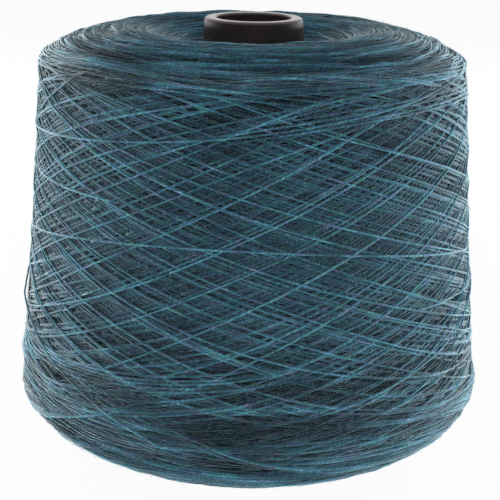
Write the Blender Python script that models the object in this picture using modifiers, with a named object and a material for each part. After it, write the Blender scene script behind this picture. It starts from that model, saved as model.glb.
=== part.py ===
"""A cone of yarn: a moulded winding cone and the cross-wound package on it.

Units are metres, +Z runs from the wide base of the cone to its nose, and the
origin is the centre of the base ring, where the cone stands on a table.
"""

import math

import bmesh
import bpy

# ---------------------------------------------------------------- sizes

# The moulded cone.
CONE_HEIGHT = 0.170
CONE_HALF_ANGLE = math.radians(4.0 + 20.0 / 60.0)
NOSE_DIAMETER = 0.036
CONE_WALL = 0.0022
NOSE_LIP_WIDTH = 0.0044
NOSE_LIP_DEPTH = 0.008
NOSE_LIP_SLOPE = 0.003
NOSE_OUTER_ROUND = 0.0013
NOSE_INNER_ROUND = 0.0008
BASE_BAND_WALL = 0.0034
BASE_BAND_HEIGHT = 0.009
BASE_BAND_SLOPE = 0.004
BASE_EDGE_ROUND = 0.0006

# The wound yarn, measured from the outside of the moulded cone.
YARN_TO_CONE_GAP = 0.0003
PACKAGE_BUILD = 0.0592
BARE_CONE_AT_NOSE = 0.010
BARE_CONE_AT_BASE = 0.0085
CREST_FROM_CONE = 0.0265
CREST_RISE = 0.0066
TOP_SHOULDER_DROP = 0.0116
TOP_SHOULDER_FULLNESS = 1.63
BASE_SHOULDER_WIDTH = 0.0251
BASE_SHOULDER_RISE = 0.0217
BASE_SHOULDER_FULLNESS = 1.63
UNDERSIDE_RISE = 0.0046
SIDE_HOLLOW = 0.0006

# How finely the turned pieces are divided.
TURN_STEPS = 72
ROUND_STEPS = 4
CRATER_STEPS = 4
SHOULDER_STEPS = 8
SIDE_STEPS = 6
SHARP_ANGLE = math.radians(35.0)
MERGE_DISTANCE = 0.00001

COLLECTION_NAME = "cone_of_yarn"


# ---------------------------------------------------------------- helpers


def clear_scene():
    """Take away whatever the start-up file holds."""
    for thing in list(bpy.data.objects):
        bpy.data.objects.remove(thing, do_unlink=True)


def make_collection(name):
    """A collection for the pieces, linked to the scene."""
    collection = bpy.data.collections.new(name)
    bpy.context.scene.collection.children.link(collection)
    return collection


def make_material(name, colour, roughness, metallic=0.0):
    """A Principled material of one plain colour."""
    material = bpy.data.materials.new(name)
    material.use_nodes = True
    shader = material.node_tree.nodes["Principled BSDF"]
    shader.inputs["Base Color"].default_value = (*colour, 1.0)
    shader.inputs["Roughness"].default_value = roughness
    shader.inputs["Metallic"].default_value = metallic
    return material


def cone_radius(height):
    """Outside radius of the moulded cone at a height above its base."""
    return NOSE_DIAMETER / 2 + (CONE_HEIGHT - height) * math.tan(CONE_HALF_ANGLE)


def arc(centre, radius, first_angle, last_angle, steps):
    """Points on a circle in the profile plane, from one angle to another."""
    points = []
    for step in range(steps + 1):
        angle = first_angle + (last_angle - first_angle) * step / steps
        x = centre[0] + radius * math.cos(angle)
        z = centre[1] + radius * math.sin(angle)
        points.append((x, z))
    return points


def turned(name, profile, material, collection):
    """One closed body of revolution about the Z axis from a closed profile.

    The profile lies at +X and runs down the outer side and up the inner one.
    """
    form = bmesh.new()
    corners = [form.verts.new((x, 0.0, z)) for x, z in profile]
    for index, corner in enumerate(corners):
        form.edges.new((corner, corners[(index + 1) % len(corners)]))
    mesh = bpy.data.meshes.new(name)
    form.to_mesh(mesh)
    form.free()
    mesh.materials.append(material)
    piece = bpy.data.objects.new(name, mesh)
    collection.objects.link(piece)

    screw = piece.modifiers.new("turn", "SCREW")
    screw.axis = "Z"
    screw.angle = math.tau
    screw.steps = TURN_STEPS
    screw.render_steps = TURN_STEPS
    screw.use_merge_vertices = True
    screw.merge_threshold = MERGE_DISTANCE
    screw.use_smooth_shade = True
    return piece


def shaded_smooth(piece):
    """Turn the modifiers into mesh, then shade it smooth with crisp edges kept."""
    graph = bpy.context.evaluated_depsgraph_get()
    mesh = bpy.data.meshes.new_from_object(piece.evaluated_get(graph))
    piece.modifiers.clear()
    piece.data = mesh
    mesh.shade_smooth()
    mesh.set_sharp_from_angle(angle=SHARP_ANGLE)


# ---------------------------------------------------------------- winding cone


def nose_profile():
    """The rim of the nose, from its bore edge round to its outer edge."""
    bore_radius = NOSE_DIAMETER / 2 - NOSE_LIP_WIDTH
    inner_centre = (bore_radius + NOSE_INNER_ROUND, CONE_HEIGHT - NOSE_INNER_ROUND)
    outer_centre = (
        cone_radius(CONE_HEIGHT - NOSE_OUTER_ROUND) - NOSE_OUTER_ROUND,
        CONE_HEIGHT - NOSE_OUTER_ROUND,
    )
    inner = arc(inner_centre, NOSE_INNER_ROUND, math.pi, math.pi / 2, ROUND_STEPS)
    outer = arc(outer_centre, NOSE_OUTER_ROUND, math.pi / 2, 0.0, ROUND_STEPS)
    return inner + outer


def base_profile():
    """The foot ring and the thicker band above it, from outside to inside."""
    outer_radius = cone_radius(BASE_EDGE_ROUND)
    inner_radius = cone_radius(0.0) - BASE_BAND_WALL
    outer_centre = (outer_radius - BASE_EDGE_ROUND, BASE_EDGE_ROUND)
    inner_centre = (inner_radius + BASE_EDGE_ROUND, BASE_EDGE_ROUND)
    outer = arc(outer_centre, BASE_EDGE_ROUND, 0.0, -math.pi / 2, ROUND_STEPS // 2)
    inner = arc(inner_centre, BASE_EDGE_ROUND, -math.pi / 2, -math.pi, ROUND_STEPS // 2)
    band_top = (cone_radius(BASE_BAND_HEIGHT) - BASE_BAND_WALL, BASE_BAND_HEIGHT)
    slope_top = BASE_BAND_HEIGHT + BASE_BAND_SLOPE
    wall_start = (cone_radius(slope_top) - CONE_WALL, slope_top)
    return outer + inner + [band_top, wall_start]


def make_winding_cone(collection):
    """The plastic tube that the yarn is wound on: open at both ends."""
    lip_foot = CONE_HEIGHT - NOSE_LIP_DEPTH
    wall_end_height = lip_foot - NOSE_LIP_SLOPE
    wall_end = (cone_radius(wall_end_height) - CONE_WALL, wall_end_height)
    lip_start = (NOSE_DIAMETER / 2 - NOSE_LIP_WIDTH, lip_foot)
    profile = nose_profile() + base_profile() + [wall_end, lip_start]
    plastic = make_material("cone_plastic", (0.0160, 0.0134, 0.0140), 0.38)
    return turned("winding_cone", profile, plastic, collection)


# ---------------------------------------------------------------- yarn package


def rounded_quarter(fullness, steps):
    """A quarter of a superellipse, as pairs that go from (0, 1) to (1, 0).

    A fullness of 2 is a circle, and a lower one is flatter, as slack turns are.
    """
    pairs = []
    for step in range(steps + 1):
        angle = math.pi / 2 * step / steps
        out = max(0.0, math.sin(angle)) ** (2.0 / fullness)
        up = max(0.0, math.cos(angle)) ** (2.0 / fullness)
        pairs.append((out, up))
    return pairs


def top_face_profile():
    """From the cone up the dished top face to the crest, then over the shoulder."""
    start_height = CONE_HEIGHT - BARE_CONE_AT_NOSE
    crest_height = start_height + CREST_RISE
    start_radius = cone_radius(start_height) + YARN_TO_CONE_GAP
    crest_radius = cone_radius(crest_height) + CREST_FROM_CONE
    points = []
    for step in range(CRATER_STEPS):
        share = step / CRATER_STEPS
        radius = start_radius + (crest_radius - start_radius) * share
        height = start_height + CREST_RISE * math.sin(share * math.pi / 2)
        points.append((radius, height))
    side_height = crest_height - TOP_SHOULDER_DROP
    side_radius = cone_radius(side_height) + PACKAGE_BUILD
    for out, up in rounded_quarter(TOP_SHOULDER_FULLNESS, SHOULDER_STEPS):
        radius = crest_radius + (side_radius - crest_radius) * out
        height = side_height + TOP_SHOULDER_DROP * up
        points.append((radius, height))
    return points


def side_profile(top, bottom):
    """The slightly hollow side between the two shoulders, ends left out."""
    points = []
    for step in range(1, SIDE_STEPS):
        share = step / SIDE_STEPS
        radius = top[0] + (bottom[0] - top[0]) * share
        height = top[1] + (bottom[1] - top[1]) * share
        radius -= SIDE_HOLLOW * math.sin(share * math.pi)
        points.append((radius, height))
    return points


def underside_profile():
    """Round the base shoulder and back along the underside to the cone."""
    end_height = BARE_CONE_AT_BASE
    low_height = end_height + UNDERSIDE_RISE
    side_height = low_height + BASE_SHOULDER_RISE
    side_radius = cone_radius(side_height) + PACKAGE_BUILD
    points = []
    for down, out in rounded_quarter(BASE_SHOULDER_FULLNESS, SHOULDER_STEPS):
        radius = side_radius - BASE_SHOULDER_WIDTH * (1.0 - out)
        height = side_height - BASE_SHOULDER_RISE * down
        points.append((radius, height))
    points.append((cone_radius(end_height) + YARN_TO_CONE_GAP, end_height))
    return points


def make_yarn_package(collection):
    """One long yarn wound crosswise, as the ring-shaped body that it fills."""
    top = top_face_profile()
    under = underside_profile()
    profile = top + side_profile(top[-1], under[0]) + under
    yarn = make_material("teal_yarn", (0.048, 0.098, 0.131), 0.85)
    return turned("yarn_package", profile, yarn, collection)


# ---------------------------------------------------------------- the object


def main():
    """Build both pieces, each in its own object."""
    clear_scene()
    collection = make_collection(COLLECTION_NAME)
    pieces = [make_winding_cone(collection), make_yarn_package(collection)]
    for piece in pieces:
        shaded_smooth(piece)


main()
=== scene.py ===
# %% [markdown]
# # A cone of yarn
#
# This lesson gives a wound package of yarn its looks. The real thing has only two pieces: a moulded
# plastic cone, and one very long yarn that a machine wound round it, crosswise, from edge to edge.
#
# The solid model of both pieces is loaded first and isn't changed. It says how big everything is.

import math

import bmesh
import bpy
import numpy as np
from mathutils import Matrix, Vector


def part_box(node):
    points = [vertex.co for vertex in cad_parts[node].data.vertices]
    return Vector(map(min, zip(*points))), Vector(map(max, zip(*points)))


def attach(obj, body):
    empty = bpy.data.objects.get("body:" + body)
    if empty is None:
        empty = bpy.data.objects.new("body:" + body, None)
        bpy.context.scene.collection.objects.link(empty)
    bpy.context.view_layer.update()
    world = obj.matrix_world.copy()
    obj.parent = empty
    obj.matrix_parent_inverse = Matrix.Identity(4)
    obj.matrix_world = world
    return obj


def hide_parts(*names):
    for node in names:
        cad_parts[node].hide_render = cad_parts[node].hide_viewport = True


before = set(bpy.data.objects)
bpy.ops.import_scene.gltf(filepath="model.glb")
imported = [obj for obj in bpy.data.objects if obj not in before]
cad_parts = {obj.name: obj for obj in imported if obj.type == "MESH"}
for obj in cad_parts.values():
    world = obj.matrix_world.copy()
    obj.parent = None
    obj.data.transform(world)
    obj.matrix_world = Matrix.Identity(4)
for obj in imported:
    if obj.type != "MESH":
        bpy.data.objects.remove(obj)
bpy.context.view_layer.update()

# %% [markdown]
# All lengths in this script are metres, as in the solid model. Yarn is thin, so a name for a
# millimetre keeps the numbers readable. Random choices come from generators with a fixed seed, so
# that the script gives the same package each time it runs.

# %% Units and chance
MM = 0.001
chance = np.random.default_rng(20)

cone_low, cone_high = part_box("winding_cone")
yarn_low, yarn_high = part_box("yarn_package")
print(f"cone {1000 * (cone_high.z - cone_low.z):.0f} mm tall")
print(f"package {2000 * yarn_high.x:.0f} mm across")

# %% [markdown]
# ## The studio
#
# A product like this stands on a pale table in a white room. The camera is a little above the
# package and looks slightly down, from about half a metre away, through a long lens, which keeps
# the sides of the package nearly parallel. It leans by a degree, as a hand-levelled camera does.

# %% Camera
CAMERA_PLACE = Vector((0.0, -516.5 * MM, 230.6 * MM))
CAMERA_PITCH = math.radians(16.15)
CAMERA_ROLL = math.radians(0.93)
CAMERA_LENS = 100.8
SENSOR_WIDTH = 36.0
CAMERA_FARTHEST = 50.0

camera_data = bpy.data.cameras.new("camera")
camera_data.lens = CAMERA_LENS
camera_data.sensor_width = SENSOR_WIDTH
camera_data.clip_end = CAMERA_FARTHEST
camera = bpy.data.objects.new("camera", camera_data)
bpy.context.scene.collection.objects.link(camera)
turn_down = Matrix.Rotation(math.radians(90.0) - CAMERA_PITCH, 4, "X")
lean = Matrix.Rotation(CAMERA_ROLL, 4, "Z")
camera.matrix_world = Matrix.Translation(CAMERA_PLACE) @ turn_down @ lean
bpy.context.scene.camera = camera
bpy.context.scene.view_settings.view_transform = "Standard"
print("camera at", [round(1000 * c) for c in CAMERA_PLACE], "mm")

# %% [markdown]
# The world, the floor and every finish are small networks of nodes. A few helpers keep the
# networks below short: each adds a node or a few, feeds them, and hands back what comes out.

# %% Nodes
def node(tree, kind, **values):
    """Add a node and set some of its properties."""
    made = tree.nodes.new(kind)
    for key, value in values.items():
        setattr(made, key, value)
    return made


def maths(tree, operation, *values):
    """One Math node, fed by sockets or by plain numbers."""
    made = node(tree, "ShaderNodeMath", operation=operation)
    for index, value in enumerate(values):
        if isinstance(value, (int, float)):
            made.inputs[index].default_value = value
        else:
            tree.links.new(value, made.inputs[index])
    return made.outputs[0]


def remap(tree, value, old, new=(0.0, 1.0)):
    """Carry one range of numbers over to another."""
    made = node(tree, "ShaderNodeMapRange")
    for label, limit in zip(("From Min", "From Max", "To Min", "To Max"), (*old, *new)):
        made.inputs[label].default_value = limit
    tree.links.new(value, made.inputs["Value"])
    return made.outputs["Result"]


def mixed(tree, share, first, second):
    """Two shaders mixed: a share of nought is all first, and one is all second."""
    made = node(tree, "ShaderNodeMixShader")
    tree.links.new(share, made.inputs[0])
    tree.links.new(first.outputs[0], made.inputs[1])
    tree.links.new(second.outputs[0], made.inputs[2])
    return made.outputs[0]


def seen_directly(tree):
    """One for rays from the camera, a mirror or glass, and nought for all others."""
    path = node(tree, "ShaderNodeLightPath")
    glossy = path.outputs["Is Glossy Ray"]
    mirrored = maths(tree, "MAXIMUM", glossy, path.outputs["Is Transmission Ray"])
    return maths(tree, "MAXIMUM", path.outputs["Is Camera Ray"], mirrored)


# %% [markdown]
# The world is what lights the room when no lamp is on. The camera should see plain white behind
# the package, but the white that the eye sees needn't be the light that falls on the yarn. The
# Light Path node tells the two apart: rays from the camera and mirror-like reflections get white,
# and all other rays get a softer grey.
#
# That grey isn't even. It is brightest low down behind the package, and dimmest in front of it and
# overhead. The edges of the package then come out paler than its middle, and its top stays dark.

# %% World
WORLD_TINT = (0.93, 0.96, 1.0, 1.0)
WORLD_FRONT = 0.24
WORLD_BACK = 0.60
WORLD_DIMMER_ABOVE = -0.6
WORLD_FRONT_TO_BACK = (-0.55, 0.9)


def make_world():
    """A white surround for the eye and a softer one for the light."""
    world = bpy.data.worlds.new("white_room")
    world.use_nodes = True
    tree = world.node_tree
    tree.nodes.clear()
    where = node(tree, "ShaderNodeTexCoord")
    split = node(tree, "ShaderNodeSeparateXYZ")
    tree.links.new(where.outputs["Generated"], split.inputs[0])
    back = maths(tree, "MULTIPLY_ADD", split.outputs[2], WORLD_DIMMER_ABOVE, split.outputs[1])
    light = node(tree, "ShaderNodeBackground")
    light.inputs["Color"].default_value = WORLD_TINT
    strength = remap(tree, back, WORLD_FRONT_TO_BACK, (WORLD_FRONT, WORLD_BACK))
    tree.links.new(strength, light.inputs["Strength"])
    white = node(tree, "ShaderNodeBackground")
    white.inputs["Color"].default_value = (1.0, 1.0, 1.0, 1.0)
    white.inputs["Strength"].default_value = 1.0
    out = node(tree, "ShaderNodeOutputWorld")
    tree.links.new(mixed(tree, seen_directly(tree), light, white), out.inputs["Surface"])
    bpy.context.scene.world = world


make_world()
print("world:", bpy.context.scene.world.name)

# %% [markdown]
# Four soft lamps do the modelling. A long, low one stands at each side, a little behind the
# package, and draws the bright edges that show how round it is. A weak one high behind it puts the
# pale shine on the rim of the plastic cone, and a weak one above the camera opens up the front.

# %% Lamps
MIDDLE = (0.0, 0.0, 85 * MM)


def make_softbox(name, place, size, watts, colour):
    """A rectangular area lamp at a place, turned towards the middle of the package."""
    data = bpy.data.lights.new(name, "AREA")
    data.shape = "RECTANGLE"
    data.size = size[0]
    data.size_y = size[1]
    data.energy = watts
    data.color = colour
    lamp = bpy.data.objects.new(name, data)
    lamp.location = place
    direction = Vector(MIDDLE) - Vector(place)
    lamp.rotation_euler = direction.to_track_quat("-Z", "Y").to_euler()
    bpy.context.scene.collection.objects.link(lamp)


make_softbox("left_softbox", (-0.77, 0.51, 0.08), (1.0, 0.15), 15.5, (1.0, 0.985, 0.965))
make_softbox("right_softbox", (0.77, 0.50, 0.08), (1.0, 0.15), 15.0, (0.87, 0.97, 1.0))
make_softbox("back_softbox", (0.0, 0.95, 0.36), (1.4, 0.6), 1.8, (1.0, 0.98, 0.96))
make_softbox("front_softbox", (0.10, -1.0, 0.62), (0.9, 0.6), 3.0, (0.98, 0.99, 1.0))

# %% [markdown]
# The floor is a large white sheet. Where it is lit it would come out a very light grey, so most of
# what the camera sees of it is plain white, and the rest is the real lit surface, which keeps the
# soft shadow under the package.
#
# A white floor also throws light back up at what stands on it. Close to the package this one glows
# as white as it looks, and farther off the glow fades, as a real floor does away from the lamps.

# %% Floor
FLOOR_SIZE = 6.0
FLOOR_COLOUR = (0.9, 0.9, 0.9, 1.0)
FLOOR_WHITE_SHARE = 0.95
FLOOR_GLOW_NEAR = 1.0
FLOOR_GLOW_FAR = 0.30
GLOW_CENTRE = (0.0, 0.10, 0.0)
GLOW_FADE = (0.45, 0.85)


def new_material(name, sockets):
    """A material, its nodes and its shader, with some of the shader's sockets set."""
    material = bpy.data.materials.new(name)
    material.use_nodes = True
    tree = material.node_tree
    shader = tree.nodes["Principled BSDF"]
    for label, value in sockets.items():
        shader.inputs[label].default_value = value
    return material, tree, shader


def make_floor_material():
    """White to the eye, and a glow that fades with distance for the light on the package."""
    material, tree, shader = new_material("floor_white", {
        "Base Color": FLOOR_COLOUR,
        "Roughness": 0.9,
    })
    where = node(tree, "ShaderNodeTexCoord")
    distance = node(tree, "ShaderNodeVectorMath", operation="DISTANCE")
    distance.inputs[1].default_value = GLOW_CENTRE
    tree.links.new(where.outputs["Object"], distance.inputs[0])
    fade = remap(tree, distance.outputs["Value"], GLOW_FADE, (FLOOR_GLOW_NEAR, FLOOR_GLOW_FAR))
    share = node(tree, "ShaderNodeMix")
    tree.links.new(seen_directly(tree), share.inputs["Factor"])
    tree.links.new(fade, share.inputs["A"])
    share.inputs["B"].default_value = FLOOR_WHITE_SHARE
    glow = node(tree, "ShaderNodeEmission")
    surface = mixed(tree, share.outputs["Result"], shader, glow)
    tree.links.new(surface, tree.nodes["Material Output"].inputs["Surface"])
    return material


def make_floor():
    """A white sheet on which the cone stands."""
    form = bmesh.new()
    bmesh.ops.create_grid(form, x_segments=2, y_segments=2, size=FLOOR_SIZE / 2)
    mesh = bpy.data.meshes.new("floor")
    form.to_mesh(mesh)
    form.free()
    mesh.materials.append(make_floor_material())
    floor = bpy.data.objects.new("floor", mesh)
    bpy.context.scene.collection.objects.link(floor)
    print(f"floor {FLOOR_SIZE:.0f} m square")


make_floor()

# %% [markdown]
# ## The outline of the package
#
# Every turn of yarn lies on one turned shape, so that shape is the first thing to know. Its outline
# runs from the foot of the crater round the nose, over the crest, round the top shoulder, down the
# slightly hollow side, round the wide base shoulder and back along the underside.
#
# It is the solid model's outline, worked out again here with more points, from the box of each
# solid and the widths of its two shoulders.

# %% Outline
CONE_HALF_ANGLE = math.radians(4.0 + 20.0 / 60.0)
CRATER_FOOT_BELOW_NOSE = 10.0 * MM
CREST_BELOW_NOSE = 3.4 * MM
CREST_FROM_CONE = 26.5 * MM
TOP_SHOULDER_DROP = 11.6 * MM
BASE_SHOULDER_WIDTH = 25.1 * MM
BASE_SHOULDER_RISE = 21.7 * MM
UNDERSIDE_RISE = 4.6 * MM
SHOULDER_FULLNESS = 1.63
SIDE_HOLLOW = 0.6 * MM
END_FACE_POINTS = 60
SHOULDER_POINTS = 90
SIDE_POINTS = 120

cone_height = cone_high.z
cone_base_radius = cone_high.x


def cone_radius(height):
    """Outside radius of the plastic cone at a height."""
    return cone_base_radius - height * math.tan(CONE_HALF_ANGLE)


package_build = yarn_high.x - cone_radius(yarn_low.z + UNDERSIDE_RISE + BASE_SHOULDER_RISE)


def quarter(fullness, steps):
    """A quarter turn of a superellipse, from (0, 1) to (1, 0)."""
    angle = np.linspace(0.0, math.pi / 2, steps)
    power = 2.0 / fullness
    return np.sin(angle) ** power, np.cos(angle).clip(0.0) ** power


def outline_points():
    """Radius and height along the outline, and where its stretches meet."""
    foot = cone_height - CRATER_FOOT_BELOW_NOSE
    crest = cone_height - CREST_BELOW_NOSE
    crest_radius = cone_radius(crest) + CREST_FROM_CONE
    share = np.linspace(0.0, 1.0, END_FACE_POINTS)
    crater_r = cone_radius(foot) + (crest_radius - cone_radius(foot)) * share
    crater_z = foot + (crest - foot) * np.sin(share * math.pi / 2)

    top_z = crest - TOP_SHOULDER_DROP
    top_r = cone_radius(top_z) + package_build
    out, up = quarter(SHOULDER_FULLNESS, SHOULDER_POINTS)
    shoulder_r = crest_radius + (top_r - crest_radius) * out
    shoulder_z = top_z + TOP_SHOULDER_DROP * up

    low_z = yarn_low.z + UNDERSIDE_RISE
    base_z = low_z + BASE_SHOULDER_RISE
    base_r = cone_radius(base_z) + package_build
    share = np.linspace(0.0, 1.0, SIDE_POINTS)
    side_r = top_r + (base_r - top_r) * share - SIDE_HOLLOW * np.sin(share * math.pi)
    side_z = top_z + (base_z - top_z) * share

    down, out = quarter(SHOULDER_FULLNESS, SHOULDER_POINTS)
    heel_r = base_r - BASE_SHOULDER_WIDTH * (1.0 - out)
    heel_z = base_z - BASE_SHOULDER_RISE * down
    share = np.linspace(0.0, 1.0, END_FACE_POINTS)
    under_r = heel_r[-1] + (cone_radius(yarn_low.z) - heel_r[-1]) * share
    under_z = low_z + (yarn_low.z - low_z) * share

    r = [crater_r, shoulder_r[1:], side_r[1:], heel_r[1:], under_r[1:]]
    z = [crater_z, shoulder_z[1:], side_z[1:], heel_z[1:], under_z[1:]]
    ends = np.cumsum([len(part) for part in r]) - 1
    return np.concatenate(r), np.concatenate(z), ends


raw_r, raw_z, stretch_ends = outline_points()
raw_steps = np.hypot(np.diff(raw_r), np.diff(raw_z))
raw_run = np.concatenate([[0.0], np.cumsum(raw_steps)])
_, run_top, run_base, _, run_end = raw_run[stretch_ends]
print("outline, mm from the crater's foot:", np.round(raw_run[stretch_ends] * 1000, 1))

# %% [markdown]
# A place on the package is then two numbers: the angle round the axis, and the *run*, which is how
# far along the outline it lies. Evenly spaced tables turn a run into a radius, a height and the
# direction that faces outwards there. Smoothing the direction takes the corner out of each joint
# between two stretches.
#
# Yarn is softer than the solid model. Beside the plastic cone the top face dips, since nothing
# holds the yarn up there, and just under the base shoulder the package swells a little under the
# weight of what is above. Both are added to the tables.

# %% From run to place
OUTLINE_STEP = 0.25 * MM
HOLLOW_DEPTH = 4.2 * MM
HOLLOW_REACH = 21.0 * MM
BASE_SWELL = 1.0 * MM
BASE_SWELL_REACH = 9.0 * MM
BASE_SWELL_BELOW = 7 * MM
BASE_SWELL_OUT = 0.8
BASE_SWELL_DOWN = 0.4
CORNER_EASE = 4 * MM

run_table = np.arange(0.0, run_end, OUTLINE_STEP)
radius_table = np.interp(run_table, raw_run, raw_r)
height_table = np.interp(run_table, raw_run, raw_z)
height_table -= HOLLOW_DEPTH * np.exp(-(run_table / HOLLOW_REACH) ** 2)
from_swell = (run_table - run_base - BASE_SWELL_BELOW) / BASE_SWELL_REACH
swell = BASE_SWELL * np.exp(-from_swell ** 2)
radius_table += swell * BASE_SWELL_OUT
height_table -= swell * BASE_SWELL_DOWN


def smoothed(values, width):
    """A running mean that keeps the ends where they are."""
    half = max(1, int(width / OUTLINE_STEP / 2))
    padded = np.concatenate([np.full(half, values[0]), values, np.full(half, values[-1])])
    kernel = np.ones(2 * half + 1) / (2 * half + 1)
    return np.convolve(padded, kernel, mode="valid")


slope_r = smoothed(np.gradient(radius_table, OUTLINE_STEP), CORNER_EASE)
slope_z = smoothed(np.gradient(height_table, OUTLINE_STEP), CORNER_EASE)
slope = np.hypot(slope_r, slope_z)
outward_r_table = -slope_z / slope
outward_z_table = slope_r / slope
print("places along the outline:", len(run_table))


def place_on(angle, run, lift):
    """Points in space for angles, runs and heights above the outline."""
    radius = np.interp(run, run_table, radius_table)
    height = np.interp(run, run_table, height_table)
    out_r = np.interp(run, run_table, outward_r_table)
    out_z = np.interp(run, run_table, outward_z_table)
    r = radius + out_r * lift
    z = height + out_z * lift
    return np.stack([r * np.cos(angle), r * np.sin(angle), z], axis=1)


def outward_at(angle, run):
    """Unit vectors that face out of the package."""
    out_r = np.interp(run, run_table, outward_r_table)
    out_z = np.interp(run, run_table, outward_z_table)
    return np.stack([out_r * np.cos(angle), out_r * np.sin(angle), out_z], axis=1)


# %% [markdown]
# ## Winding the yarn
#
# What makes a package look wound is that each length of yarn lies on the ones before it. It
# touches the highest of them and runs nearly straight from one to the next, because it was pulled
# tight. A bump texture can't show that, so the script winds the package for real.
#
# The state of the package is one table of heights, a fine grid over angle and run. To lay a length
# of yarn, read the heights under it, pull a string tight over them, and raise the table to the top
# of the new yarn. Yarn is soft: it flattens where it crosses, so a layer adds less than its
# thickness, and the string sags a little between the places that hold it up.

# %% The height table
YARN_THICKNESS = 0.72 * MM
YARN_PACKED = 0.30 * MM
YARN_EDGE_GIVES = 0.08 * MM
YARN_EDGE_LOWER = 0.14 * MM
PRESSED_SAG = 0.62
FRESH_SAG = 0.15
SAG_REACH = 3.6 * MM
GRID_RUN = 0.3 * MM
GRID_COLUMNS = 1800
STEP = 0.45 * MM

grid = np.zeros((int(run_end / GRID_RUN) + 4, GRID_COLUMNS), np.float32)
print("height table:", grid.shape)


def cells(angle, run):
    """Row and column of the table under each place."""
    row = np.clip((run / GRID_RUN).astype(int), 0, grid.shape[0] - 1)
    column = (angle * (GRID_COLUMNS / math.tau)).astype(int) % GRID_COLUMNS
    return row, column


def running_mean(values, width):
    """A running mean that repeats the end values."""
    half = max(1, int(width / 2))
    padded = np.concatenate([np.full(half, values[0]), values, np.full(half, values[-1])])
    total = np.cumsum(np.concatenate([[0.0], padded]))
    return (total[2 * half + 1:] - total[:-2 * half - 1]) / (2 * half + 1)


def pulled_tight(distance, support, bend, sag):
    """The height of a tight string over its supports.

    On a surface of radius bend, a straight string is a parabola above it. Taking that parabola
    away first makes the string the upper hull of what is left.
    """
    fall = distance * distance / (2.0 * bend)
    xs = distance.tolist()
    ys = (support - fall).tolist()
    touch = [0]
    for i in range(1, len(xs)):
        while len(touch) > 1:
            a, b = touch[-2], touch[-1]
            if (ys[b] - ys[a]) * (xs[i] - xs[a]) <= (ys[i] - ys[a]) * (xs[b] - xs[a]):
                touch.pop()
            else:
                break
        touch.append(i)
    hull = np.interp(distance, distance[touch], (support - fall)[touch]) + fall
    below = running_mean(support, SAG_REACH / STEP)
    return hull + sag * np.minimum(below - hull, 0.0)


lengths = []


def lay(angle, run, heading, bend, sag=PRESSED_SAG, lift=0.0):
    """Lay one length of yarn and raise the table under it. Lift moves it off its supports."""
    radius = np.interp(run, run_table, radius_table)
    sideways = np.diff(angle) * 0.5 * (radius[1:] + radius[:-1])
    distance = np.concatenate([[0.0], np.cumsum(np.hypot(sideways, np.diff(run)))])
    half = YARN_THICKNESS * 0.5
    aside_angle = np.sin(heading) * half / radius
    aside_run = np.cos(heading) * half
    middle = cells(angle, run)
    left = cells(angle - aside_angle, run - aside_run)
    right = cells(angle + aside_angle, run + aside_run)
    beside = np.maximum(grid[left], grid[right])
    support = np.maximum(grid[middle], beside - YARN_EDGE_GIVES)
    string = pulled_tight(distance, support.astype(float), bend, sag) + lift
    top = (string + YARN_PACKED).astype(np.float32)
    np.maximum.at(grid, middle, top)
    np.maximum.at(grid, left, top - YARN_EDGE_LOWER)
    np.maximum.at(grid, right, top - YARN_EDGE_LOWER)
    lengths.append((angle, run, top.astype(float), distance, heading))


# %% [markdown]
# ### The end faces
#
# The yarn turns back at each end of its stroke, so the end faces are made of nothing but turns. Of
# each turn only the middle shows: it comes up between its neighbours, follows a circle for a
# finger's width or two, and goes down again. They are wound from the inside out.
#
# Nothing holds a turn in its place, so no two lie alike. Each gets a slant, a bow and small waves of
# its own, and sags less than yarn that later strokes have pressed, which keeps the faces rough. The
# waves come from a second generator, so that changing them leaves all the other choices alone.

# %% Turns on the end faces
GOLDEN_TURN = math.tau * 0.618034
END_FACE_SAG = 0.34
END_FACE_SCATTER = 0.07
END_TURN_MM = (40, 105)
END_TURN_AROUND = 0.15
END_TURN_SLANT = 0.060
END_TURN_BOW = 0.0009
END_TURN_WAVE = 0.35 * MM
END_TURN_WAVE_MM = (2.5, 8.0)
END_TURN_SINK = 0.9 * MM
RUN_MARGIN = 0.6 * MM

waves = np.random.default_rng(5)


def wind_end_face(first_run, last_run, count, bend):
    """Short arcs that lie round an end face, each sinking in at both ends."""
    order = np.linspace(0.0, 1.0, count) + chance.normal(0.0, END_FACE_SCATTER, count)
    places = first_run + (last_run - first_run) * np.clip(order, 0.0, 1.0)
    for k, place in enumerate(places):
        radius = float(np.interp(place, run_table, radius_table))
        length = chance.uniform(*END_TURN_MM) * MM
        length = min(length, 1.5 * math.pi * radius)
        distance = np.arange(-length / 2, length / 2, STEP)
        start = GOLDEN_TURN * k + chance.normal(0.0, END_TURN_AROUND)
        slant = chance.normal(0.0, END_TURN_SLANT)
        bow = chance.normal(0.0, END_TURN_BOW) / MM
        angle = start + distance / radius
        wave = waves.normal(0.0, END_TURN_WAVE)
        wave = wave * np.sin(distance / waves.uniform(*END_TURN_WAVE_MM) / MM)
        run = place + slant * distance + bow * 0.5 * distance * distance + wave
        run = np.clip(run, RUN_MARGIN, run_end - RUN_MARGIN)
        # The outer two fifths of each half sink in, and 0.16 is two fifths squared.
        share = np.abs(distance) / (length / 2)
        sink = -END_TURN_SINK * np.clip(share - 0.6, 0.0, None) ** 2 / 0.16
        lay(angle, run, np.zeros(len(angle)), bend, sag=END_FACE_SAG, lift=sink)


wind_end_face(1.0 * MM, run_top - 2 * MM, 1500, 45 * MM)
wind_end_face(run_end - 1.0 * MM, run_base + 4 * MM, 1300, 60 * MM)
end_face_lengths = len(lengths)
print("turns on the end faces:", end_face_lengths)

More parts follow.
